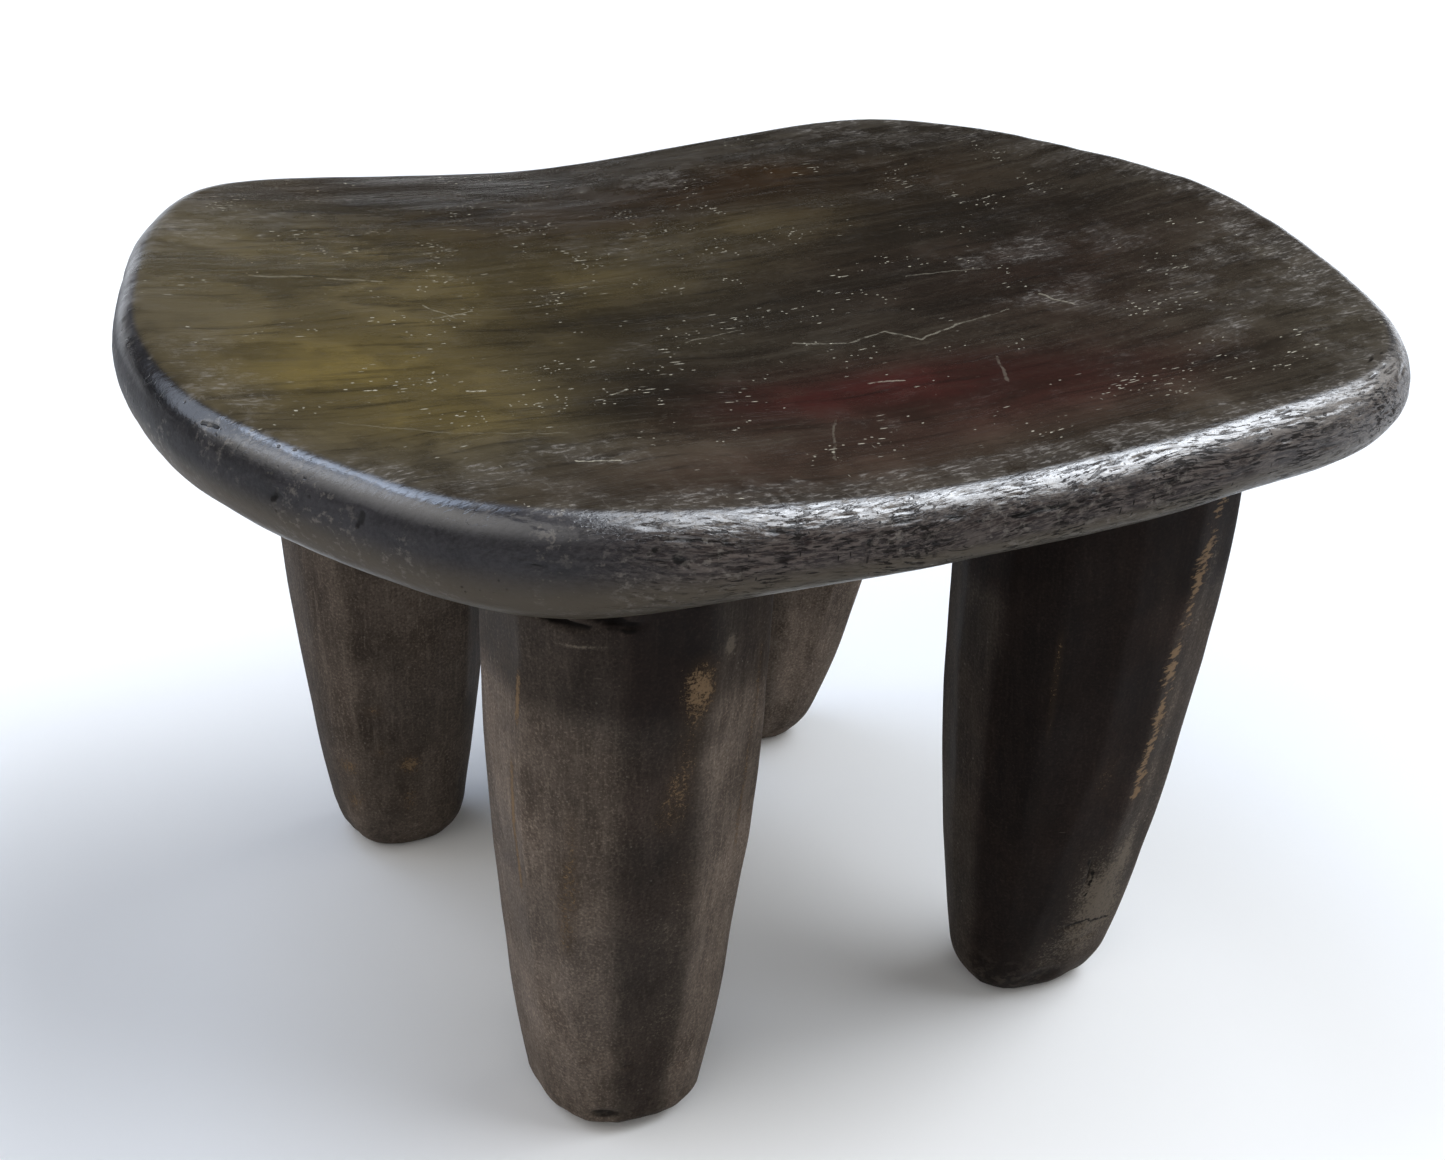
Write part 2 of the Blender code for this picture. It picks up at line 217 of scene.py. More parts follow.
# Pits and checks seen on the rim: middle, direction, half length, half width and depth
RIM_MARKS = (
    (-187.9, -69.2, 247.9, 0.4, -0.9, 0, 3, 1.1, 0.7),
    (-178.7, -96.8, 236.8, 0.3, -0.5, 0.6, 2.2, 1.2, 0.9),
    (-163, -120.8, 237.8, 0.1, -0.2, 1, 3.4, 1.1, 1),
    (-172, -110, 233, 0.5, -0.6, 0.3, 1.8, 1, 0.8),
    (-190.5, -42, 244, 0.2, -0.9, 0.3, 1.6, 1, 0.7),
    (-90.6, -164.3, 230.9, 0.7, 0, -0.6, 3.5, 1.3, 1.4),
    (-96, -162, 234, 0.8, 0, 0.4, 2.4, 0.9, 0.9),
    (-36.8, -170.4, 226.8, 0.2, 0, 1, 3.8, 0.7, 1.1),
    (-17, -171.3, 225.5, -0.2, 0, 1, 3.4, 0.7, 1),
    (12.1, -172.5, 232.5, 0.1, 0, 1, 5, 0.9, 1.2),
    (18, -172.2, 229, 1, 0, 0.05, 16, 0.7, 1.1),
    (-15, -171.5, 231, 1, 0, 0.1, 19, 0.6, 0.9),
    (60, -172.8, 235, 1, 0, -0.05, 14, 0.8, 1.1),
    (102, -170, 235, 1, 0.3, 0, 13, 0.8, 1.2),
    (118, -166, 239, 0.2, 0.1, 1, 3.2, 0.9, 1.2),
    (126, -164, 237, -0.2, 0.1, 1, 3.6, 0.9, 1.3),
    (135, -160, 233, 0.9, 0.4, 0.1, 9, 0.9, 1.2),
)

# Scratches and flake lines seen on the seat: ends along x and y, half width and strength
SEAT_STROKES = (
    (-1.3, -58.1, 13.8, -64, 0.6, 0.4), (13.8, -64, 29.6, -60, 0.6, 0.4),
    (29.6, -60, 36.3, -70.2, 0.7, 0.45), (36.3, -70.2, 54.9, -64.5, 0.7, 0.45),
    (54.9, -64.5, 75, -60.8, 0.5, 0.3), (-154.6, -80.4, -127.3, -93.1, 0.4, 0.25),
    (-127.3, -93.1, -96, -101, 0.4, 0.22), (-71.6, -77.5, -65.5, -75.2, 0.6, 1.0),
    (-111, -64, -106, -65, 0.8, 0.9), (-101.3, -119.8, -89, -122.5, 0.6, 0.9),
    (-18, -114.6, -30.8, -138.6, 0.5, 0.2), (50, -93.1, 43.7, -110.6, 0.6, 0.22),
    (5.2, -93.8, 15.9, -96.2, 0.6, 0.6), (-99, 8, -93, -6, 0.5, 0.45),
    (-100, -5, -88, -2, 0.4, 0.4), (-143.4, 43.7, -125, 40, 0.9, 0.35),
    (-120, 38, -104.2, 32.6, 0.8, 0.35), (90.5, -54.3, 95.3, -67.5, 0.7, 0.45),
    (-33, -46, -12, -42, 0.5, 0.3), (60, -20, 85, -26, 0.5, 0.3),
)

# Soft patches on the seat's top: middle and reach along x and y, and strength
SEAT_PATCHES = {
    "olive": (
        (-155, -40, 32, 26, 0.32), (-125, -84, 34, 16, 0.4), (-132, -48, 46, 46, 0.6),
        (-125, 60, 85, 65, 0.42), (-90, -10, 60, 60, 0.22), (-30, 20, 50, 30, 0.18),
        (35, 55, 50, 20, 0.18), (60, 30, 60, 35, 0.08),
    ),
    "maroon": (
        (-35, -95, 30, 22, 0.45), (6, -98, 40, 17, 0.85), (45, -105, 34, 16, 0.5),
        (-10, -135, 80, 20, 0.5), (70, -125, 45, 22, 0.4), (108, -30, 75, 60, 0.26),
    ),
    "brown": (
        (60, 98, 34, 20, 0.95), (-10, 92, 60, 30, 0.65), (108, 67, 45, 35, 0.5),
        (-95, 142, 50, 14, 0.55),
    ),
    "dark": (
        (-55, -70, 34, 22, 0.9), (-80, -86, 16, 12, 0.5), (-64, -20, 34, 22, 0.6),
        (12, -26, 50, 18, 0.55), (40, -50, 60, 16, 0.4), (-16, 100, 70, 30, 0.6),
        (110, 50, 60, 70, 0.5), (75, 5, 50, 30, 0.4), (120, -30, 70, 50, 0.28),
        (-70, 125, 60, 35, 0.45),
    ),
    "cloud": (
        (160, -80, 50, 70, 0.55), (125, 60, 45, 50, 0.25), (120, 135, 50, 30, 0.55),
        (92, -58, 18, 14, 0.6), (100, -18, 30, 12, 0.55), (115, -112, 34, 14, 0.3),
        (2, -118, 26, 12, 0.28), (-150, 110, 50, 35, 0.6), (-178, -40, 12, 60, 0.6),
        (-130, -118, 50, 16, 0.55), (-90, -115, 12, 8, 0.9), (-15, 48, 40, 24, 0.4),
        (20, 118, 40, 16, 0.65), (-50, -50, 20, 12, 0.35),
    ),
    "flecks": (
        (-75, -68, 50, 20, 0.85), (-20, -20, 80, 60, 0.45), (-20, 70, 70, 50, 0.55),
        (-120, 90, 70, 40, 0.5), (20, -130, 100, 30, 0.5), (120, 0, 70, 120, 0.2),
    ),
    "dusty": (
        (160, -100, 40, 60, 0.55), (-46, -122, 34, 14, 0.8), (40, -143, 70, 14, 0.95),
    ),
}

# The lip is a little fuller over the near leg: middle, reach and strength, and the way it moves
LIP_FULLNESS = ((-110, -144, 213.5, 36, 30, 13, 1.0),)
LIP_MOVE = (-0.0004, -0.0008, -0.003)

WARM_WHITE = (1.0, 0.98, 0.95)
COOL_WHITE = (0.86, 0.92, 1.0)

# Broad far lamps: the direction from the stool, strength, spread in degrees and colour
LAMPS = {
    "overhead_near": ((0.41, -0.32, 0.85), 0.96, 34, COOL_WHITE),
    "overhead_far": ((0.42, 0.1, 0.9), 0.58, 27, COOL_WHITE),
    "overhead_right": ((0.64, -0.06, 0.77), 0.62, 30, COOL_WHITE),
    "overhead_left": ((-0.15, 0.36, 0.92), 0.64, 27, (0.64, 0.77, 1.0)),
    "back_left": ((-0.52, 0.5, 0.69), 0.5, 46, (0.74, 0.83, 1.0)),
    "side_left": ((-0.78, -0.4, 0.48), 1.72, 96, WARM_WHITE),
    "side_right": ((0.86, -0.28, 0.4), 1.35, 76, WARM_WHITE),
}


# ---------- noise and curves ----------

LATTICE_SIDE = 32
LATTICES = [np.random.default_rng(seed).random((LATTICE_SIDE,) * 3) * 2 - 1 for seed in range(8)]


def noise(points, scale, which=0):
    """Smooth noise from -1 to 1. The scale is the size of its lumps along x, y and z."""
    places = points / np.asarray(scale, dtype=float) + 7.3 * (which + 1)
    base = np.floor(places).astype(int)
    part = places - base
    part = part ** 3 * (part * (part * 6 - 15) + 10)
    total = np.zeros(len(points))
    for corner in np.ndindex(2, 2, 2):
        weight = np.where(corner, part, 1 - part).prod(axis=1)
        total += weight * LATTICES[which][tuple(((base + corner) % LATTICE_SIDE).T)]
    return total


def smooth(low, high, value):
    share = np.clip((value - low) / (high - low), 0, 1)
    return share * share * (3 - 2 * share)


def closed_spline(points, steps):
    """A smooth closed line through the points, with this many steps from each to the next."""
    here = np.asarray(points, dtype=float)[:, None]
    before, after, beyond = (np.roll(here, shift, axis=0) for shift in (1, -1, -2))
    t = (np.arange(steps) / steps)[:, None]
    bend = 2 * before - 5 * here + 4 * after - beyond
    twist = 3 * here - before - 3 * after + beyond
    line = here + 0.5 * t * (after - before) + 0.5 * t ** 2 * bend + 0.5 * t ** 3 * twist
    return line.reshape(-1, here.shape[-1])


def places_along(wanted, lengths, line):
    return np.column_stack([np.interp(wanted, lengths, line[:, axis]) for axis in (0, 1)])


# ---------- the seat's form ----------

def seat_outline():
    """Even points round the seat's outline, and the way out at each."""
    line = closed_spline(OUTLINE_SHARES, 40) * (SEAT_LENGTH / 2, SEAT_WIDTH / 2)
    closed = np.vstack([line, line[:1]])
    lengths = np.concatenate([[0], np.cumsum(np.linalg.norm(np.diff(closed, axis=0), axis=1))])
    points = places_along(np.arange(RIM_SIDES) * lengths[-1] / RIM_SIDES, lengths, closed)
    low = points.min(axis=0)
    high = points.max(axis=0)
    points = (points - (low + high) / 2) / (high - low) * (SEAT_LENGTH, SEAT_WIDTH)
    along = np.roll(points, -1, axis=0) - np.roll(points, 1, axis=0)
    outward = np.column_stack([along[:, 1], -along[:, 0]])
    return points, outward / np.linalg.norm(outward, axis=1)[:, None]


def bearings(points):
    points = points[:, :2] / (SEAT_LENGTH, SEAT_WIDTH)
    return np.arctan2(points[:, 1], points[:, 0]), np.hypot(points[:, 0], points[:, 1])


OUTLINE, OUTWARD = seat_outline()
OUTLINE_ANGLES, OUTLINE_REACH = bearings(OUTLINE)


def around_rim(shares, angles):
    line = closed_spline([(share,) for share in shares], 16)[:, 0]
    turns = np.arange(len(line)) * FULL_TURN / len(line)
    return np.interp(angles, turns, line, period=FULL_TURN)


def way_out(points):
    """How far out on the seat each place is, from 0 in the middle to 1 at the outline."""
    angles, reach = bearings(points)
    return reach / np.interp(angles, OUTLINE_ANGLES, OUTLINE_REACH, period=FULL_TURN)


def dish_height(points):
    rise = END_RISE * around_rim(RIM_RISE_SHARES, bearings(points)[0])
    return rise * way_out(points) ** DISH_POWER


def thickness(points):
    share = around_rim(RIM_THICKNESS_SHARES, bearings(points)[0])
    return SEAT_THICKNESS * (1 + (share - 1) * way_out(points) ** DISH_POWER)


def underside_height(points):
    return SEAT_HEIGHT + dish_height(points) - thickness(points)


# ---------- meshes ----------

def new_object(name, data):
    obj = bpy.data.objects.new(name, data)
    bpy.context.scene.collection.objects.link(obj)
    return obj


def new_mesh(name, points, faces):
    data = bpy.data.meshes.new(name)
    data.from_pydata(points, [], faces)
    data.update()
    return data


def add_mesh(name, points, faces, material):
    obj = new_object(name, new_mesh(name, points, faces))
    obj.data.materials.append(material)
    return obj


def add_piece(name, points, faces, material, stands_for):
    obj = add_mesh(name, points.tolist(), faces, material)
    obj.data.shade_smooth()
    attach(obj, "root")
    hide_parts(stands_for)
    return obj


def vertex_normals(points, faces):
    data = new_mesh("scratch", points.tolist(), faces)
    normals = np.zeros(len(points) * 3, np.float32)
    data.vertices.foreach_get("normal", normals)
    bpy.data.meshes.remove(data)
    return normals.reshape(-1, 3).astype(float)


def paint(obj, name, *masks):
    """Stores three masks on the points, for the material to read."""
    layer = obj.data.attributes.new(name, "FLOAT_COLOR", "POINT")
    values = np.column_stack([*masks, np.ones(len(masks[0]))]).astype(np.float32)
    layer.data.foreach_set("color", np.clip(values, 0, 1).ravel())


def far_off(points, sizes):
    """The squared distance from a middle, in reaches. The sizes are the middle and then the reach."""
    middle, reach = np.reshape(sizes, (2, -1)) * MM
    return (((points[:, :len(middle)] - middle) / reach) ** 2).sum(axis=1)


def spots(points, rows):
    """Soft patches: each row is a middle, a reach and a strength."""
    patches = (strength * np.exp(-far_off(points, sizes)) for *sizes, strength in rows)
    return sum(patches, np.zeros(len(points)))


def quarter_turn(steps):
    """Even angles up to a right angle, without the start."""
    return math.pi / 2 * np.arange(1, steps + 1) / steps


def seat_points():
    """The seat's points and faces: a square-grid top, the rim's rings and the rings of the underside."""
    side = 2 * GRID_HALF
    steps = np.arange(side + 1) - GRID_HALF
    a, b = (grid.ravel() for grid in np.meshgrid(steps, steps))
    ring = np.maximum(abs(a), abs(b))
    sides = [(a == ring) & (b > -ring), (b == ring) & (a < ring), (a == -ring) & (b < ring),
             (b == -ring) & (a > -ring)]
    round_place = np.select(sides, [b + ring, 3 * ring - a, 5 * ring - b, 7 * ring + a])
    turn = ((round_place / np.maximum(8 * ring, 1)) - 0.125) % 1.0
    crease = OUTLINE - RIM_ROUND_WIDTH * OUTWARD
    crease = np.vstack([crease, crease[:1]])
    plan = places_along(turn, np.arange(RIM_SIDES + 1) / RIM_SIDES, crease) * (ring / GRID_HALF)[:, None]
    points = [np.column_stack([plan, SEAT_HEIGHT + dish_height(plan)])]
    first = (np.arange(side)[:, None] * (side + 1) + np.arange(side)).ravel()
    faces = np.column_stack([first, first + 1, first + side + 2, first + side + 1]).tolist()
    edge = np.where(ring == GRID_HALF)[0]
    rows = [edge[np.argsort(np.round(turn[edge] * RIM_SIDES))]]

    # Each ring's inset, share of the plan, drop and share of the hull's depth
    rings = [(RIM_ROUND_WIDTH * (1 - math.sin(t)), 1, RIM_ROUND_DROP * (1 - math.cos(t)), 0)
             for t in quarter_turn(ROUND_RINGS)]
    rings += [(HULL_WIDTH * (1 - math.cos(t)), 1, RIM_ROUND_DROP, math.sin(t))
              for t in quarter_turn(HULL_RINGS)]
    rings += [(HULL_WIDTH, 1 - step / (BASE_RINGS + 1), RIM_ROUND_DROP, 1)
              for step in range(1, BASE_RINGS + 1)]
    count = len(plan)
    for inset, share, drop, hull_share in rings:
        plan = (OUTLINE - inset * OUTWARD) * share
        depth = thickness(plan) - RIM_ROUND_DROP
        points.append(np.column_stack([plan, SEAT_HEIGHT + dish_height(plan) - drop - hull_share * depth]))
        rows.append(np.arange(count, count + RIM_SIDES))
        count += RIM_SIDES
    for upper, lower in zip(rows, rows[1:]):
        faces.extend(np.column_stack([upper, lower, np.roll(lower, -1), np.roll(upper, -1)]).tolist())
    points.append([[0, 0, SEAT_HEIGHT - SEAT_THICKNESS]])
    last = rows[-1]
    faces.extend(np.column_stack([np.full(RIM_SIDES, count), np.roll(last, -1), last]).tolist())
    return np.vstack(points), faces


def fissure_list(count, seed):
    """The rim's marks, and short grooves along the grain scattered over its long sides."""
    random = np.random.default_rng(seed)
    grooves = [(np.array(row[:3]) * MM, np.array(row[3:6]) / np.linalg.norm(row[3:6]), *np.array(row[6:]) * MM)
               for row in RIM_MARKS]
    while len(grooves) < count:
        index = random.integers(RIM_SIDES)
        outward = OUTWARD[index]
        turn = random.random() ** 0.8 * math.pi * 0.75
        lean = random.normal(0, 0.07)
        rough = random.random()
        if abs(outward[1]) < 0.72 or (outward[1] > 0 and rough > 0.5):
            continue
        if outward[1] < 0 and OUTLINE[index, 0] < -0.1 and rough > 0.15:
            continue
        if turn < math.pi / 2:
            inset = RIM_ROUND_WIDTH * (1 - math.sin(turn))
            drop = RIM_ROUND_DROP * (1 - math.cos(turn))
        else:
            inset = HULL_WIDTH * (1 + math.cos(turn))
            drop = RIM_ROUND_DROP + (SEAT_THICKNESS - RIM_ROUND_DROP) * -math.cos(turn)
        plan = OUTLINE[index] - inset * outward
        height = SEAT_HEIGHT + float(dish_height(plan[None])[0]) - drop
        direction = np.array([-outward[1], outward[0], lean])
        grooves.append((np.array([*plan, height]), direction / np.linalg.norm(direction),
                        random.uniform(1.5, 8.5) * MM * (0.5 + 0.5 * rough),
                        random.uniform(0.35, 0.75) * MM, random.uniform(0.3, 0.95) * MM))
    return grooves


def groove_depth(points, grooves):
    ragged = np.column_stack([noise(points, (0.004, 0.0025, 0.0025), which) for which in (2, 3, 4)]) * 0.0007
    ragged += np.column_stack([noise(points, 0.0012, which) for which in (5, 6, 7)]) * 0.00025
    total = np.zeros(len(points))
    for place, direction, half_length, half_width, depth in grooves:
        near = np.where((abs(points - place) < half_length + 3 * half_width + 0.001).all(axis=1))[0]
        offset = points[near] - place + ragged[near]
        along = offset @ direction
        across = (offset ** 2).sum(axis=1) - along ** 2
        cut = depth * np.clip(1 - (along / half_length) ** 2, 0, 1) * np.exp(-across / half_width ** 2)
        total[near] = np.maximum(total[near], cut)
    return total


def make_seat(material):
    points, faces = seat_points()
    points = points + spots(points, LIP_FULLNESS)[:, None] * LIP_MOVE
    normals = vertex_normals(points, faces)
    out = way_out(points)
    x, y, _ = points.T
    face_x, face_y, up = normals.T

    # Parts of the seat, by the way they face and by where they are
    side = smooth(0.985, 0.9, up) * smooth(-0.95, -0.6, up)
    flank = smooth(0.72, 0.35, up) * smooth(-0.95, -0.6, up)
    lip = smooth(0.05, -0.5, up) * smooth(-0.98, -0.85, up)
    top = smooth(0.55, 0.9, up)
    under = smooth(-0.5, -0.9, up)
    front = np.maximum.reduce([smooth(-0.3, -0.75, face_y) * smooth(-0.125, -0.075, x),
                               smooth(0.45, 0.8, face_y) * 0.8, smooth(0.3, 0.65, face_x) * 0.9])
    near = np.maximum(smooth(-0.17, -0.06, x) * smooth(0.1, -0.1, y), smooth(0.1, 0.17, x))
    right = smooth(0.06, 0.16, x)
    left = smooth(-0.2, -0.5, face_x) * smooth(0.04, -0.06, y)
    gloss = (0.11 + side * (0.22 + 0.57 * near + 0.55 * left)) * (1 - flank * (0.94 - 0.45 * right))
    gloss *= 1 - 0.8 * smooth(0.05, 0.5, face_y)

    # Waves of the carving: height and length in millimetres
    waves = (
        (0.3, (60, 50, 50)), (0.16 * (1 - 0.5 * flank), (34, 13, 13)), (0.07, (13, 6, 6)),
        (0.32 * flank, (34, 34, 14)), ((0.04 + 0.14 * front) * flank, (9, 9, 2.8)),
        (0.5 * under, (30, 22, 22)),
    )
    relief = sum(size * noise(points / MM, scale, which) for which, (size, scale) in enumerate(waves)) * MM
    grooves = groove_depth(points, fissure_list(420, 5))
    relief -= grooves * smooth(0.985, 0.9, up) + SEAT_SINK
    legs_near = np.zeros(len(points))
    for leg in LEGS.values():
        reach = np.hypot(*(points[:, :2] - leg_place(leg, "shoulder")).T)
        legs_near = np.maximum(legs_near, smooth(0.056, 0.044, reach))
    relief *= 1 - legs_near * under
    points = points + normals * relief[:, None]
    seat = add_piece("dished_seat", points, faces, material, "seat")

    x, y, _ = points.T
    patches = {name: spots(points, rows) for name, rows in SEAT_PATCHES.items()}
    crease = smooth(0.83, 0.91, out) * smooth(0.0, -0.06, y) * smooth(-0.13, -0.08, x) * smooth(0.12, 0.05, x)
    edge = smooth(0.84, 0.97, out)
    cloud = patches["cloud"] + 0.6 * edge * near + 0.16 * smooth(0.9, 0.97, out) + 0.75 * crease
    dusty = patches["dusty"] + 0.9 * smooth(-0.055, -0.14, x) * smooth(-0.17, -0.08, y)
    # At the rim's near right end, pale scuffs: partly real wear and partly a painted highlight
    scuffed_end_and_highlight = smooth(0.06, 0.13, x) * smooth(-0.02, -0.08, y) * smooth(0.0, 0.3, up)
    paint(seat, "patina", *(patches[name] * top for name in ("olive", "maroon", "brown")))
    paint(seat, "wear", np.maximum(cloud * top, 0.75 * side * scuffed_end_and_highlight), flank, side)
    paint(seat, "form", grooves / 0.0008, under, edge * (0.1 + 0.9 * near))
    paint(seat, "marks", patches["flecks"] * top, front * smooth(0.8, 0.97, out), dusty * top)
    paint(seat, "finish", patches["dark"] * top, lip, gloss)


# ---------- the legs' form ----------

def leg_place(leg, kind):
    half_spans = np.array([SEAT_LENGTH / 2 - SHOULDER_INSET_LENGTH, SEAT_WIDTH / 2 - SHOULDER_INSET_WIDTH])
    if kind == "foot":
        half_spans = half_spans - (FOOT_INSET_LENGTH, FOOT_INSET_WIDTH)
    return half_spans * leg["side"] * leg[kind][:2]


def leg_columns(leg):
    """For each column round a leg, the facet it lies on and how far along that facet it is."""
    edges = np.array(leg["edges"], dtype=float)
    widths = (np.roll(edges, -1) - edges) % 360
    counts = np.maximum(np.round(widths / 360 * LEG_COLUMNS).astype(int), 6)
    counts[np.argmax(counts)] += LEG_COLUMNS - counts.sum()
    facets = np.repeat(np.arange(len(edges)), counts)
    shares = np.concatenate([np.arange(count) / count for count in counts])
    return facets, shares, edges, widths


def section_points(leg, height, degrees):
    """Places on a leg's rounded section at these heights and bearings."""
    climb = np.clip(height / SHOULDER_HEIGHT, 0, 1)
    swell = 1 - (1 - climb) ** TAPER_POWER
    below = np.clip(1 - height / (FOOT_ROUND_HEIGHT * leg["foot_round"]), 0, 1)
    roundness = FOOT_FLAT_SHARE + (1 - FOOT_FLAT_SHARE) * np.sqrt(1 - below ** 2)
    turn = np.radians(degrees)
    squareness = abs(np.cos(turn)) ** SECTION_POWER + abs(np.sin(turn)) ** SECTION_POWER
    foot = leg_place(leg, "foot")
    shoulder = leg_place(leg, "shoulder")
    places = []
    for axis, wave in enumerate((np.cos, np.sin)):
        centre = foot[axis] + (shoulder[axis] - foot[axis]) * climb
        foot_half = leg["foot"][2 + axis] * FOOT_DIAMETER / 2
        shoulder_half = leg["shoulder"][2 + axis] * SHOULDER_DIAMETER / 2
        half = (foot_half + (shoulder_half - foot_half) * swell) * roundness
        places.append(centre + half * wave(turn) * squareness ** (-1 / SECTION_POWER))
    return np.stack(places, axis=-1)


def blur_round(values, spread):
    """Averages a table of rows over its columns, which run round the leg."""
    total = np.zeros_like(values)
    weights = 0
    for shift in range(-18, 19):
        weight = math.exp(-0.5 * (shift / spread) ** 2)
        total += weight * np.roll(values, shift, axis=1)
        weights += weight
    return total / weights


def leg_surface(leg):
    """Rows of points up a leg, with the facet of each column and how far along that facet it is."""
    facets, shares, edges, widths = leg_columns(leg)
    foot_round = FOOT_ROUND_HEIGHT * leg["foot_round"]
    foot_heights = foot_round * (1 - np.cos(np.linspace(0, math.pi / 2, FOOT_ROWS)))
    shank_shares = np.linspace(0, 1, SHANK_ROWS + 1)[1:]

    def rows_at(top_heights):
        low = np.repeat(foot_heights[:, None], LEG_COLUMNS, axis=1)
        high = foot_round + shank_shares[:, None] * (top_heights - foot_round)[None]
        return np.vstack([low, high])

    def chords(heights):
        """The flat facets between wandering edges, and the rounded section."""
        random = np.random.default_rng(leg["seed"])
        wander = np.zeros((len(heights), len(edges)))
        climb = heights.mean(axis=1) / 0.2
        for index in range(len(edges)):
            for waves, size in ((1.3, 1.6), (3.1, 0.9), (7.0, 0.45)):
                wander[:, index] += size * np.sin(FULL_TURN * (waves * climb + random.random()))
            wander[:, index] += leg.get("drift", {}).get(index, 0) * np.clip(1 - climb, 0, 1) ** 2
        start = edges[facets] + wander[:, facets]
        end = edges[facets] + widths[facets] + wander[:, (facets + 1) % len(edges)]
        first = section_points(leg, heights, start)
        second = section_points(leg, heights, end)
        rounded = section_points(leg, heights, start + (end - start) * shares)
        return first + (second - first) * shares[:, None], rounded

    # The top row follows the underside of the seat, which is found in a few rounds
    top = np.full(LEG_COLUMNS, SHOULDER_HEIGHT)
    for _ in range(5):
        places, _ = chords(rows_at(top))
        top = underside_height(places[-1]) + LEG_OVERLAP
    heights = rows_at(top)
    places, rounded = chords(heights)
    flat = np.dstack([places, heights]).reshape(-1, 3)
    worn = smooth(-0.35, 0.45, noise(flat, (0.02, 0.02, 0.045), leg["seed"] % 8))
    near_foot = smooth(0.085, 0.022, heights)[..., None]
    mix = np.clip(0.12 + 0.6 * worn, 0, 1).reshape(near_foot.shape)
    shank = blur_round(places, 1.3) * (1 - mix) + blur_round(places, 4.6) * mix
    places = shank * (1 - near_foot) + blur_round(rounded, 3.0) * near_foot
    return np.dstack([places, heights]), facets, shares


def turn_from(bearing, centre):
    return (bearing - centre + 180) % 360 - 180


def stripes(bearing, height, lines):
    """Lines that run down a leg: each has its places as heights and bearings, a half angle and a strength."""
    total = np.zeros(len(bearing))
    for places, half_angle, strength in lines:
        heights, angles = np.array(sorted(places)).T
        heights = heights * MM
        turn = bearing - np.interp(height, heights, angles)
        ends = smooth(heights[0] - 8 * MM, heights[0] + 4 * MM, height)
        ends *= smooth(heights[-1] + 8 * MM, heights[-1] - 4 * MM, height)
        total += strength * ends * np.exp(-(turn / half_angle) ** 2)
    return total


def leg_points(leg):
    """A leg's points and faces, and for each point its facet, its share of it and whether it is on the side."""
    rows, facets, shares = leg_surface(leg)

    def shrunk(ring, middle, share):
        return np.column_stack([middle + (ring[:, :2] - middle) * share, ring[:, 2]])

    foot = leg_place(leg, "foot")
    middle = rows[-1][:, :2].mean(axis=0)
    steps = np.arange(1, CAP_ROWS + 1) / (CAP_ROWS + 1)
    base = [shrunk(rows[0], foot, 1 - step ** 1.5) for step in steps[::-1]]
    cap = [shrunk(rows[-1], middle, 1 - step) for step in steps]
    for ring in cap:
        ring[:, 2] = underside_height(ring) + LEG_OVERLAP
    points = np.vstack([*base, *rows, *cap])
    bottom = len(points)
    last = bottom - LEG_COLUMNS
    columns = np.arange(LEG_COLUMNS)
    after = np.roll(columns, -1)
    faces = []
    for row in range(0, last, LEG_COLUMNS):
        upper = row + LEG_COLUMNS
        faces.extend(np.column_stack([row + columns, row + after, upper + after, upper + columns]).tolist())
    for column in range(LEG_COLUMNS):
        faces.append((bottom, after[column], column))
        faces.append((bottom + 1, last + column, last + after[column]))
    top_height = underside_height(middle[None])[0] + LEG_OVERLAP
    points = np.vstack([points, [*foot, 0], [*middle, top_height]])
    row_count = bottom // LEG_COLUMNS
    on_side = np.zeros(len(points))
    on_side[CAP_ROWS * LEG_COLUMNS:(CAP_ROWS + len(rows)) * LEG_COLUMNS] = 1

    def for_points(values):
        return np.concatenate([np.tile(values, row_count), [0, 0]])

    # The facets' lightness, partly painted light and shade, softened round the leg
    tones_and_shade = blur_round(np.array(leg["tones_and_shade"])[facets][None], 2.6)[0]
    return points, faces, for_points(facets), for_points(shares), for_points(tones_and_shade), on_side


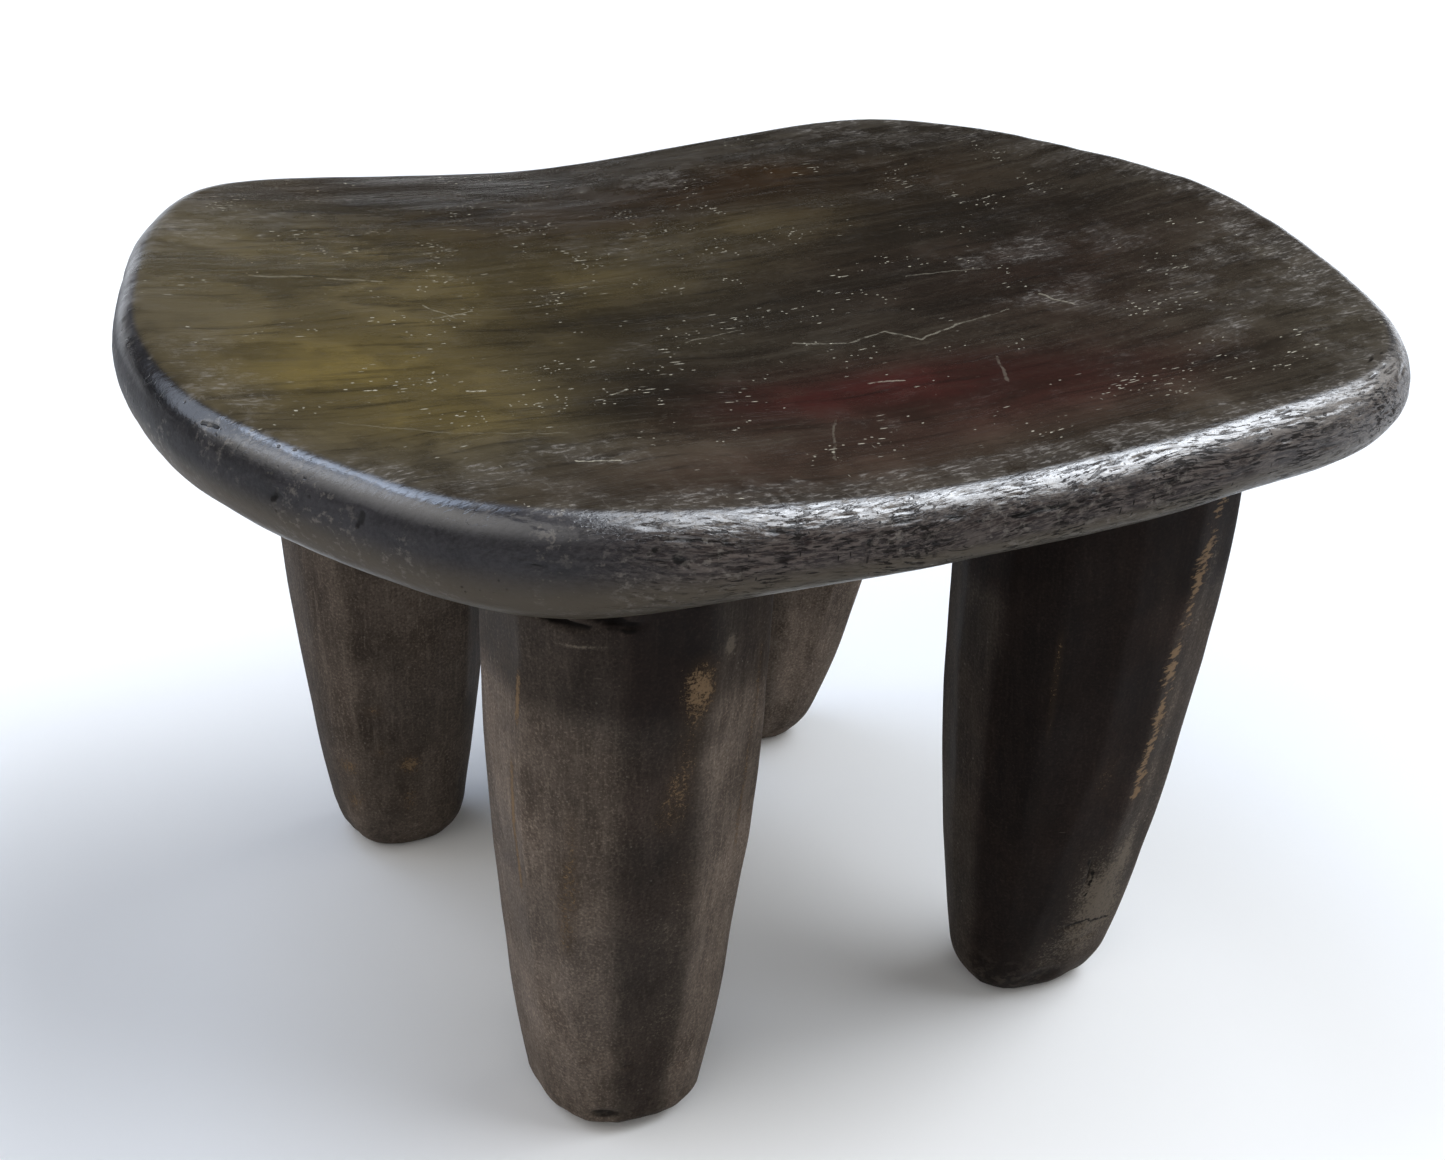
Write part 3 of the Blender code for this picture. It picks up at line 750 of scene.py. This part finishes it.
def make_leg(name, material):
    leg = LEGS[name]
    points, faces, facet, share, tone_and_shade, on_side = leg_points(leg)
    normals = vertex_normals(points, faces)
    height = points[:, 2]
    below_seat = underside_height(points) - height
    foot = leg_place(leg, "foot")
    offset = points[:, :2] - foot - (leg_place(leg, "shoulder") - foot) * (height / SHOULDER_HEIGHT)[:, None]
    bearing = np.degrees(np.arctan2(offset[:, 1], offset[:, 0])) % 360

    def leg_noise(where, scale, which):
        return noise(where, scale, (leg["seed"] + which) % 8)

    hollow = np.random.default_rng(leg["seed"] + 100).uniform(-0.00055, 0.00025, len(leg["edges"]))
    inside = 4 * share * (1 - share)
    relief = hollow[facet] * inside
    relief += 0.00028 * leg_noise(np.column_stack([facet * 3.7, share * 0.6, height / 0.026]), 1.0, 0) * inside
    relief += 0.0003 * leg_noise(points, (0.026, 0.026, 0.04), 1)
    relief += 0.0001 * leg_noise(points, (0.008, 0.008, 0.014), 2)
    relief += smooth(0.014, 0.002, height) * (0.0005 * leg_noise(points, (0.009, 0.009, 0.005), 3)
                                              + 0.00025 * leg_noise(points, 0.0035, 4))
    cuts = np.zeros(len(points))
    for centre, half_angle, level, half_height, depth in leg.get("cuts", ()):
        rise = (height - level * MM) / (half_height * MM)
        cuts += depth * MM * np.exp(-(turn_from(bearing, centre) / half_angle) ** 2 - rise ** 2)
    for *sizes, depth in leg.get("chips", ()):
        cuts += depth * MM * np.exp(-far_off(points, sizes) ** 2)
    relief -= cuts + LEG_SINK
    for centre, half_angle, reach, size in leg.get("flares", ()):
        away = np.clip(below_seat, 0, 1) / (reach * MM)
        relief += size * MM * np.exp(-(turn_from(bearing, centre) / half_angle) ** 2 - away)
    normals[:, 2] *= smooth(0.0, 0.004, height)
    # Painted shadow of the seat: the legs darken in a band just under the seat's underside
    tone_and_shade = 0.5 + 0.5 * (tone_and_shade - 0.55 * smooth(0.046, 0.033, below_seat))
    points = points + normals * (relief * on_side)[:, None]
    points[:, 2] = np.maximum(points[:, 2], 0)
    piece = add_piece("carved_" + name, points, faces, material, name)

    def marks(kind):
        return spots(points, leg.get(kind, ())) + stripes(bearing, height, leg.get(kind + "_lines", ()))

    # The third channel is each facet's lightness with painted light and shade and the seat's painted shadow
    paint(piece, "patina", marks("tan"), marks("pale"), tone_and_shade)
    paint(piece, "wear", marks("comb"), cuts / 0.0015, smooth(0.03, 0.0, height))


# ---------- materials ----------

class Nodes:
    """A short way to write a material's node tree, in which the colour is built up in coats."""

    def __init__(self, name):
        self.material = bpy.data.materials.new(name)
        self.material.use_nodes = True
        self.tree = self.material.node_tree
        self.colour = None

    def put(self, socket, value):
        if isinstance(value, bpy.types.NodeSocket):
            self.tree.links.new(value, socket)
        else:
            socket.default_value = value

    def fill(self, node, values):
        for key, value in values.items():
            self.put(node.inputs[key], value)

    def add(self, kind, values, output=0, **settings):
        """A new node's output. None as the output gives all of them."""
        node = self.tree.nodes.new(kind)
        for key, value in settings.items():
            setattr(node, key, value)
        self.fill(node, values)
        return node.outputs if output is None else node.outputs[output]

    def shade(self, values):
        """Sets the shader's own sockets and gives back the material."""
        self.fill(self.tree.nodes["Principled BSDF"], values)
        return self.material

    def coords(self):
        return self.add("ShaderNodeTexCoord", {}, "Object")

    def rays(self):
        """Whether a camera, glossy or transmission ray arrives, each 0 or 1."""
        path = self.add("ShaderNodeLightPath", {}, None)
        return path["Is Camera Ray"], path["Is Glossy Ray"], path["Is Transmission Ray"]

    def masks(self, name):
        colour = self.add("ShaderNodeAttribute", {}, "Color", attribute_name=name)
        return self.add("ShaderNodeSeparateColor", {"Color": colour}, None)

    def math(self, operation, first, second=0.0):
        return self.add("ShaderNodeMath", {0: first, 1: second}, operation=operation)

    def chain(self, operation, values):
        total = values[0]
        for value in values[1:]:
            total = self.math(operation, total, value)
        return total

    def times(self, *values):
        return self.chain("MULTIPLY", values)

    def plus(self, *values):
        return self.chain("ADD", values)

    def most(self, *values):
        return self.chain("MAXIMUM", values)

    def total(self, *pairs):
        """The sum of values, each times its weight."""
        return self.plus(*(self.times(value, weight) for value, weight in pairs))

    def vector(self, operation, first, second):
        key, output = {"SCALE": ("Scale", 0), "DOT_PRODUCT": (1, 1), "DISTANCE": (1, 1)}.get(operation, (1, 0))
        return self.add("ShaderNodeVectorMath", {0: first, key: second}, output, operation=operation)

    def stretch(self, place, scale, turn=0.0, shift=(0, 0, 0)):
        """The place for a texture of this scale. One number scales all ways alike."""
        values = {"Vector": place, "Scale": scale, "Location": shift, "Rotation": (0, 0, turn)}
        return self.add("ShaderNodeMapping", values)

    def noise(self, place, scale, detail=3.0, rough=0.5, output=0):
        """Noise from 0 to 1. Three numbers as the scale draw its lumps out."""
        if isinstance(scale, tuple):
            place, scale = self.stretch(place, scale), 1.0
        values = {"Vector": place, "Scale": scale, "Detail": detail, "Roughness": rough}
        return self.add("ShaderNodeTexNoise", values, output)

    def crook(self, place, scale, detail, reach):
        """The place pushed about by noise, so that lines drawn there aren't straight."""
        drift = self.vector("SUBTRACT", self.noise(place, scale, detail, output="Color"), (0.5, 0.5, 0.5))
        return self.vector("ADD", place, self.vector("SCALE", drift, reach))

    def cells(self, place, output="Distance"):
        return self.add("ShaderNodeTexVoronoi", {"Vector": place, "Scale": 1.0}, output)

    def window(self, value, low, high, out_low=0.0, out_high=1.0):
        values = {"Value": value, "From Min": low, "From Max": high, "To Min": out_low, "To Max": out_high}
        return self.add("ShaderNodeMapRange", values, interpolation_type="SMOOTHSTEP")

    def gate(self, place, scale, detail, *limits, rough=0.5):
        """A window on noise, to keep marks to some places."""
        return self.window(self.noise(place, scale, detail, rough), *limits)

    def specks(self, place, scale, size, edge, turn=0.0, shift=(0, 0, 0)):
        """Scattered specks, or strokes where the scale is uneven."""
        return self.window(self.cells(self.stretch(place, scale, turn, shift)), size, edge)

    def blend(self, share, first, second, kind="MIX"):
        first, second = (value if isinstance(value, bpy.types.NodeSocket) else (*value, 1)
                         for value in (first, second))
        values = {"Factor": share, 6: first, 7: second}
        return self.add("ShaderNodeMix", values, 2, data_type="RGBA", blend_type=kind)

    def coat(self, colour, *shares):
        """Lays a colour over what is there, as thick as the product of the shares."""
        self.colour = self.blend(self.times(*shares), self.colour, colour)

    def stroke(self, place, first, second, half_width):
        """How near a place is to a line between two points, 1 on the line. The sizes are in millimetres."""
        start = Vector(first).to_3d() * MM
        run = Vector(second).to_3d() * MM - start
        offset = self.vector("SUBTRACT", place, start)
        along = self.vector("DOT_PRODUCT", offset, run.normalized())
        held = self.math("MINIMUM", self.math("MAXIMUM", along, 0.0), run.length)
        away = self.vector("DISTANCE", offset, self.vector("SCALE", run.normalized(), held))
        return self.window(away, half_width * MM, half_width * MM * 0.4)

    def bump(self, height, strength):
        return self.add("ShaderNodeBump", {"Height": height, "Distance": 0.5 * MM, "Strength": strength})


def seat_material():
    n = Nodes("seat_patina")
    place = n.coords()
    olive, maroon, brown = n.masks("patina")
    cloud, flank, side = n.masks("wear")
    groove, under, edge = n.masks("form")
    fleck_share, front, dusty = n.masks("marks")
    dark, lip, gloss = n.masks("finish")
    warped = n.crook(place, 9, 2, 0.03)

    # Long grain, streaky figure and slow changes of tone
    grain = n.noise(warped, (14, 260, 260), 5, 0.62)
    figure = n.noise(warped, (13, 38, 38), 6, 0.7)
    slow = n.noise(place, 15, 5, 0.62)
    fine = n.noise(place, (500, 1100, 1100), 3, 0.65)
    quiet = n.window(n.most(maroon, dark, brown), 0.1, 0.8, 1, 0.3)

    n.colour = n.blend(n.window(figure, 0.3, 0.7), (0.0165, 0.0122, 0.0082), (0.036, 0.0275, 0.019))
    n.coat((0.046, 0.037, 0.025), n.window(slow, 0.42, 0.64), 0.55)
    n.coat((0.09, 0.075, 0.051), dusty, n.window(n.plus(figure, slow), 0.75, 1.2, 0.5, 1))
    n.coat((0.146, 0.106, 0.034), olive, n.window(n.total((figure, 1), (slow, 0.9)), 0.62, 1.1, 0.75, 1.15))
    n.coat((0.048, 0.0115, 0.0095), maroon, n.window(figure, 0.3, 0.6, 0.6, 1))
    n.coat((0.04, 0.019, 0.006), brown, n.window(slow, 0.35, 0.6, 0.6, 1))
    n.coat((0.012, 0.0092, 0.0066), dark, n.window(figure, 0.6, 0.35, 0.55, 1))
    n.coat((0.012, 0.009, 0.006), n.gate(place, 30, 3, 0.6, 0.45, rough=0.6), 0.3)
    n.coat((0.11, 0.094, 0.068), n.window(grain, 0.5, 0.74), 0.26, quiet)
    n.coat((0.008, 0.006, 0.0045), n.window(grain, 0.5, 0.28), 0.55)
    n.coat((0.12, 0.105, 0.08), n.window(fine, 0.52, 0.72), 0.24, quiet)

    # The side of the rim: smooth blue-black at the left, browner and torn along the front. The torn side's dark
    # grain is the wood's own, and its lighter mottle is partly painted glints
    mottle = n.noise(warped, (170, 950, 950), 4, 0.72)
    smooth_side = n.blend(n.window(n.total((slow, 1), (mottle, 0.4)), 0.58, 0.84),
                          (0.012, 0.0115, 0.0135), (0.042, 0.04, 0.045))
    torn_side_and_glints = n.blend(n.window(mottle, 0.4, 0.62), (0.02, 0.0135, 0.013), (0.11, 0.09, 0.08))
    side_colour = n.blend(n.times(lip, 0.85), n.blend(front, smooth_side, torn_side_and_glints), (0.105, 0.083, 0.056))
    n.colour = n.blend(n.times(side, 0.92), n.colour, side_colour)
    n.coat((0.06, 0.05, 0.034), under, 0.9)

    # Cloudy grey scuffs, made of many fine strokes. At the rim's near right end they are partly real wear and
    # partly a painted highlight
    strokes_a = n.gate(n.stretch(warped, (230, 760, 500), 0.16), 1, 4, 0.5, 0.66, rough=0.7)
    strokes_b = n.gate(n.stretch(warped, (520, 150, 400), 0.5), 1, 4, 0.57, 0.7, rough=0.7)
    patches = n.noise(place, 58, 5, 0.66)
    cover = n.window(n.total((patches, 1), (cloud, 0.16)), 0.5, 0.7)
    strokes = n.most(strokes_a, n.times(strokes_b, 0.5))
    scuffs_and_highlight = n.times(cover, n.window(cloud, 0.02, 0.7, 0.14, 1), n.plus(n.times(strokes, 0.85), 0.12))
    n.coat((0.33, 0.3, 0.268), scuffs_and_highlight, 0.56)

    # Flecks, dashes and scratches
    density = n.plus(fleck_share, n.gate(place, 42, 3, 0.44, 0.68, -0.9, 0.5))

    def dots(scale, size, keep, shift):
        spread = n.stretch(warped, scale, 0, (shift, shift, 0))
        pick = n.add("ShaderNodeSeparateColor", {"Color": n.cells(spread, "Color")})
        kept = n.window(n.total((pick, 1), (density, 0.3)), keep, keep + 0.04)
        return n.times(n.window(n.cells(spread), size, size * 0.6), kept)

    flecks = n.most(n.times(dots((500, 680, 680), 0.26, 0.945, 3.1), 0.75),
                    dots((250, 380, 380), 0.17, 0.95, 9.7),
                    n.times(dots((110, 560, 560), 0.22, 0.94, 5.3), 0.6),
                    dots((150, 700, 700), 0.2, 0.97, 8.9))
    lines = n.most(n.specks(warped, (46, 300, 300), 0.085, 0.04, 0.1),
                   n.specks(warped, (58, 360, 360), 0.08, 0.035, -0.3, (3, 5, 0)),
                   n.times(n.specks(warped, (300, 60, 300), 0.075, 0.03, 0.35, (7, 1, 0)), 0.8))
    lines = n.times(lines, n.gate(place, 60, 2, 0.52, 0.62))
    crooked = n.crook(place, 160, 3, 0.0035)
    level = n.vector("MULTIPLY", crooked, (1, 1, 0))
    drawn = n.most(*(n.times(n.stroke(level, ends[:2], ends[2:], half_width), strength)
                     for *ends, half_width, strength in SEAT_STROKES))
    drawn = n.times(drawn, n.gate(place, 420, 2, 0.36, 0.52, 0.15, 0.75))
    off_side = n.window(side, 0.1, 0.9, 1, 0.12)
    marks = n.most(n.times(n.most(flecks, n.times(lines, 0.55)), off_side), drawn)
    n.coat((0.5, 0.46, 0.36), marks, 0.88)

    # Torn grain, checks, ticks, hairline cracks and pits on the rim, the fissures of the mesh, and painted
    # glints on the rim's side
    torn = n.times(n.window(n.noise(warped, (150, 950, 950), 3, 0.62), 0.53, 0.59),
                   n.gate(place, 75, 3, 0.38, 0.58, 0.2, 1))
    hair = n.math("SUBTRACT", n.noise(warped, (22, 300, 300), 2), 0.47)
    hair = n.times(n.window(n.math("ABSOLUTE", hair), 0.02, 0.003), n.gate(place, 40, 1, 0.46, 0.6))
    checks = n.times(n.specks(warped, (75, 620, 620), 0.22, 0.13, 0, (2, 0, 0)),
                     n.gate(place, 90, 2, 0.46, 0.54))
    ticks = n.times(n.specks(warped, (620, 620, 170), 0.2, 0.12, 0, (5, 0, 0)),
                    n.gate(place, 70, 2, 0.52, 0.6))
    pits = n.times(n.specks(warped, (330, 330, 330), 0.2, 0.1, 0, (1, 4, 2)),
                   n.gate(place, 60, 2, 0.57, 0.63), side, 0.7)
    cracks = [n.times(n.most(torn, checks, ticks, hair), front), pits, n.times(hair, 0.1)]
    for row in RIM_MARKS:
        middle = Vector(row[:3])
        reach = Vector(row[3:6]).normalized() * row[6]
        cracks.append(n.times(n.stroke(crooked, middle - reach, middle + reach, row[7] * 0.75), 0.85))
    cracks = n.most(*cracks)
    n.coat((0.007, 0.0055, 0.005), cracks, 0.88)
    n.coat((0.005, 0.004, 0.0035), n.window(groove, 0.35, 0.75, 0, 0.92))
    # Painted glints: pale specks on the rim's side, standing for light caught by its rough surface
    n.coat((0.24, 0.215, 0.19), n.window(n.noise(place, (300, 420, 420), 4, 0.7), 0.52, 0.66), side,
           n.gate(place, 45, 2, 0.42, 0.62), 0.5)

    shine = n.total((n.window(figure, 0.3, 0.7, 0.2, 0.27), 1), (scuffs_and_highlight, 0.3), (cracks, 0.3),
                    (n.window(slow, 0.35, 0.65), 0.06), (flank, 0.28))
    relief = n.total((grain, 0.3), (fine, 0.16), (cracks, -0.85), (lines, -0.25), (flecks, -0.2),
                     (n.noise(place, (70, 200, 200), 4), 0.45),
                     (n.times(n.noise(place, (220, 600, 600)), edge), 0.45))
    normal = n.bump(relief, 0.8)
    worn = n.most(n.times(scuffs_and_highlight, 0.8), n.times(cracks, 0.9))
    return n.shade({
        "Base Color": n.colour, "Roughness": shine, "Normal": normal, "Metallic": 0, "Specular IOR Level": 0.11,
        "Coat Weight": n.times(gloss, n.window(worn, 0, 1, 1, 0.2)), "Coat Roughness": 0.17,
        "Coat IOR": 2.2, "Coat Normal": normal,
    })


def leg_material():
    n = Nodes("leg_patina")
    place = n.coords()
    tan, pale, tone_and_shade = n.masks("patina")
    comb, cut, foot = n.masks("wear")

    streak = n.noise(place, (230, 230, 10), 4, 0.6)
    scrape = n.noise(place, (900, 900, 60), 3, 0.65)
    hatch = n.noise(place, (200, 200, 760), 3, 0.6)
    mottle = n.noise(place, 46, 5, 0.62)
    slow = n.noise(place, 17, 3)
    fine = n.noise(place, 1100, 3, 0.7)

    n.colour = n.blend(n.window(mottle, 0.35, 0.65), (0.024, 0.0185, 0.015), (0.046, 0.037, 0.031))
    n.coat((0.066, 0.054, 0.045), n.window(streak, 0.42, 0.7), 0.4)
    n.coat((0.05, 0.043, 0.039), n.window(slow, 0.45, 0.65), 0.35)
    n.coat((0.105, 0.088, 0.072), n.window(scrape, 0.5, 0.72), 0.28)
    n.coat((0.012, 0.009, 0.0075), n.window(fine, 0.5, 0.32), 0.5)
    n.coat((0.14, 0.116, 0.094), n.window(fine, 0.52, 0.7), 0.34)

    # Each facet's lightness, four times lighter or darker at most: partly the wood's own colour and partly
    # painted light and shade, with the seat's painted shadow in a band under it
    strength = n.math("POWER", 4, n.window(tone_and_shade, 0, 1, -1, 1))
    strength = n.times(strength, n.gate(place, 30, 3, 0.35, 0.65, 0.91, 1.34))
    n.colour = n.vector("SCALE", n.colour, strength)

    # Dark facets are redder than the pale ones
    pallor = n.window(n.total((tone_and_shade, 1), (slow, 0.4)), 0.35, 0.82)
    tint = n.blend(pallor, (1.1, 0.93, 0.92), (1.03, 1.01, 0.98))
    n.colour = n.blend(1, n.colour, tint, "MULTIPLY")

    # Rubbed patches show the tan wood as fine speckle, and one edge as a comb of short level strokes
    grains = n.math("SUBTRACT", n.noise(place, 900, 4, 0.8), 0.5)
    speckle = n.total((grains, 1.9), (n.math("SUBTRACT", mottle, 0.5), 0.7))
    teeth = n.total((n.math("SUBTRACT", hatch, 0.5), 2.3), (grains, 0.6),
                    (n.gate(place, 95, 2, 0.35, 0.6, -0.45, 0.1), 1))
    bare = n.times(n.window(n.plus(tan, speckle), 0.48, 0.68), n.window(tan, 0.03, 0.3))
    n.coat((0.09, 0.06, 0.036), n.window(tan, 0.05, 0.8), 0.4)
    n.coat((0.3, 0.2, 0.115), bare, 0.74)
    n.coat((0.31, 0.205, 0.115), n.window(n.plus(comb, teeth), 0.42, 0.66), n.window(comb, 0.03, 0.2), 0.72)
    n.coat((0.1, 0.082, 0.067), n.window(pale, 0.04, 0.8), n.window(mottle, 0.35, 0.6, 0.15, 0.55))
    n.coat((0.24, 0.2, 0.155), n.window(n.plus(pale, speckle), 0.4, 0.8), n.window(pale, 0.02, 0.2), 0.55)

    # Dust specks, scratches, the grime in cuts and the gashes, and grit and grime at the foot
    flecks = n.times(n.specks(place, (420, 420, 380), 0.18, 0.08), n.gate(place, 130, 2, 0.54, 0.66),
                     n.window(tone_and_shade, 0.25, 0.6))
    n.coat((0.32, 0.285, 0.24), flecks, 0.45)
    n.coat((0.17, 0.145, 0.12), n.specks(place, (60, 60, 420), 0.09, 0.04),
           n.gate(place, 48, 1, 0.55, 0.66), 0.3)
    n.coat((0.0045, 0.0032, 0.0028), n.window(cut, 0.35, 0.95, 0, 0.93))
    crooked = n.crook(place, 260, 3, 0.004)
    gashes = (n.stroke(crooked, ends[:3], ends[3:], half_width) for *ends, half_width in LEG_GASHES)
    n.coat((0.004, 0.003, 0.0025), n.most(*gashes), 0.95)
    n.coat((0.12, 0.098, 0.078), foot, n.gate(place, 300, 4, 0.46, 0.62, rough=0.65), 0.4)
    n.coat((0.009, 0.007, 0.006), foot, n.gate(place, 190, 4, 0.52, 0.4, rough=0.65), 0.32)

    relief = n.total((streak, 0.35), (hatch, 0.22), (scrape, 0.25), (fine, 0.16), (mottle, 0.45),
                     (flecks, -0.2), (bare, -0.5))
    return n.shade({
        "Base Color": n.colour, "Roughness": n.total((n.window(mottle, 0.3, 0.7, 0.58, 0.72), 1), (bare, 0.12)),
        "Normal": n.bump(relief, 0.75), "Metallic": 0, "Specular IOR Level": 0.07,
    })


# ---------- stage, light and camera ----------

def make_floor():
    """A floor that looks almost white, and throws little of its light back on the stool."""
    n = Nodes("pale_floor")
    colour = n.blend(n.most(*n.rays()), (0.3, 0.3, 0.3), (0.97, 0.97, 0.97))
    material = n.shade({"Base Color": colour, "Roughness": 1.0, "Specular IOR Level": 0.0})
    half = 22.0
    corners = [(-half, -half, 0), (half, -half, 0), (half, half, 0), (-half, half, 0)]
    floor = add_mesh("floor", corners, [(0, 1, 2, 3)], material)
    floor.location = (0, 0, -FLOOR_GAP)


def make_backdrop():
    """A white wall far round the floor, for low views. It lights nothing and holds back no light, and
    gloss sees it fade with height, so that the top isn't veiled."""
    n = Nodes("white_backdrop")
    camera, glossy, transmission = n.rays()
    level = n.add("ShaderNodeSeparateXYZ", {"Vector": n.coords()}, "Z")
    seen = n.most(camera, n.times(glossy, n.window(level, 2.0, 0.5)), transmission)
    material = n.shade({"Base Color": (0, 0, 0, 1), "Specular IOR Level": 0,
                        "Emission Color": (1, 1, 1, 1), "Emission Strength": seen})
    sides = 96
    radius = 21.0
    turns = [FULL_TURN * step / sides for step in range(sides)]
    corners = [(radius * math.cos(turn), radius * math.sin(turn), level)
               for level in (-FLOOR_GAP, 5.4) for turn in turns]
    faces = [(step, (step + 1) % sides, sides + (step + 1) % sides, sides + step) for step in range(sides)]
    wall = add_mesh("backdrop", corners, faces, material)
    wall.visible_shadow = False
    wall.visible_diffuse = False


def make_light():
    world = bpy.data.worlds.new("studio")
    world.use_nodes = True
    background = world.node_tree.nodes["Background"]
    background.inputs["Color"].default_value = (0.92, 0.96, 1.0, 1)
    background.inputs["Strength"].default_value = 0.035
    bpy.context.scene.world = world
    for name, (towards, strength, spread, colour) in LAMPS.items():
        data = bpy.data.lights.new(name, "SUN")
        data.energy = strength
        data.angle = math.radians(spread)
        data.color = colour
        new_object(name, data).rotation_euler = Vector(towards).to_track_quat("Z", "Y").to_euler()


def make_camera():
    """The camera that was fitted to the photograph: it stands back from a target, turned and rolled."""
    azimuth, elevation, roll = (math.radians(angle) for angle in (-26.919, 26.55, 1.6355))
    target = Matrix.Translation((0.01003, 0.00896, 0.12542))
    distance = Matrix.Translation((0, 0, 0.86556))
    turn = Matrix.Rotation(azimuth, 4, "Z") @ Matrix.Rotation(math.pi / 2 - elevation, 4, "X")
    data = bpy.data.cameras.new("camera")
    data.sensor_fit = "HORIZONTAL"
    data.sensor_width = 36.0
    data.lens = 60.955
    data.clip_end = 100
    camera = new_object("camera", data)
    camera.matrix_world = target @ turn @ Matrix.Rotation(roll, 4, "Z") @ distance
    bpy.context.scene.camera = camera


bpy.context.scene.view_settings.view_transform = "Standard"
make_camera()
make_light()
make_floor()
make_backdrop()
make_seat(seat_material())
legs_wood = leg_material()
for leg_name in LEGS:
    make_leg(leg_name, legs_wood)

bpy.context.view_layer.update()
